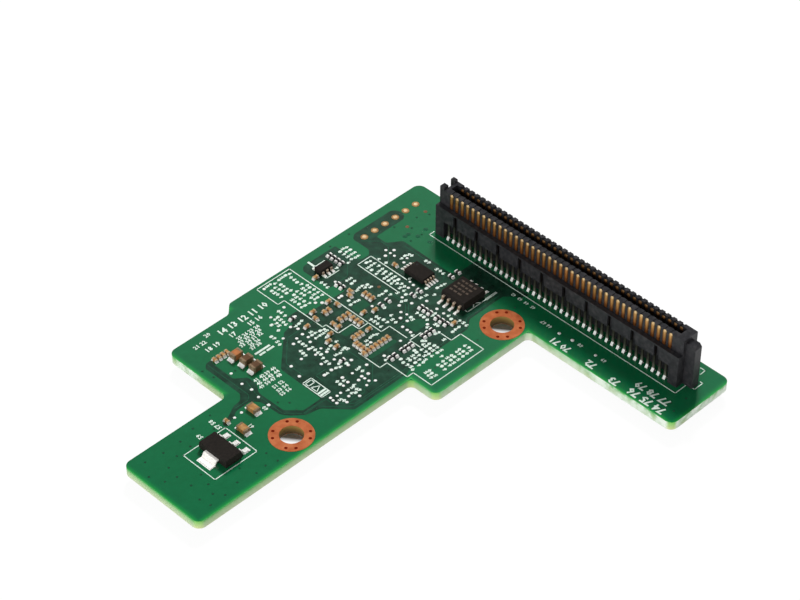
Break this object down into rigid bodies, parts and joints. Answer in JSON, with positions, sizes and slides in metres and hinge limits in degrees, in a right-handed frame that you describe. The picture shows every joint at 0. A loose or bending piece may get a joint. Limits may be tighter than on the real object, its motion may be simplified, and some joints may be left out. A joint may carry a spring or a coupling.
{
  "type": "riser card",
  "caption": "Server riser card: routed green circuit board with a tall black card connector along one arm, copper-ringed mounting holes and a field of small soldered parts.",
  "frame": {"origin": "under the middle of the board's box, on the surface the card lies on, which is the face of the controller below the board", "axes": "+X along the connector towards the arm's free end, +Y from the leg's end towards the connector, +Z out of the component side"},
  "size_m": [0.072, 0.0836, 0.0135],
  "materials": {
    "board": "glossy green solder mask over glass-fibre laminate",
    "copper": "bare copper, slightly dulled",
    "gold": "thin gold plating",
    "connector_plastic": "black glass-filled moulding",
    "contact_metal": "gold-flashed copper alloy, tinned at the feet",
    "chip_plastic": "black moulding compound",
    "tinned_metal": "tin plating with solder",
    "capacitor_ceramic": "fired tan ceramic",
    "resistor_coating": "black overcoat"
  },
  "bodies": {
    "root": {"circuit_board": "board", "mounting_rings": "copper", "header_pads": "gold", "connector_housing": "connector_plastic", "connector_front_contacts": "contact_metal", "connector_rear_contacts": "contact_metal", "regulator_body": "chip_plastic", "regulator_leads": "tinned_metal", "regulator_tab": "tinned_metal", "memory_body": "chip_plastic", "memory_leads": "tinned_metal", "supervisor_body": "chip_plastic", "supervisor_leads": "tinned_metal", "switch_body": "chip_plastic", "switch_leads": "tinned_metal", "small_capacitor_bodies": "capacitor_ceramic", "small_capacitor_terminals": "tinned_metal", "medium_capacitor_bodies": "capacitor_ceramic", "medium_capacitor_terminals": "tinned_metal", "large_capacitor_bodies": "capacitor_ceramic", "large_capacitor_terminals": "tinned_metal", "resistor_bodies": "resistor_coating", "resistor_terminals": "tinned_metal", "controller_balls": "tinned_metal", "controller_substrate": "board", "controller_mould": "chip_plastic"}
  },
  "joints": []
}
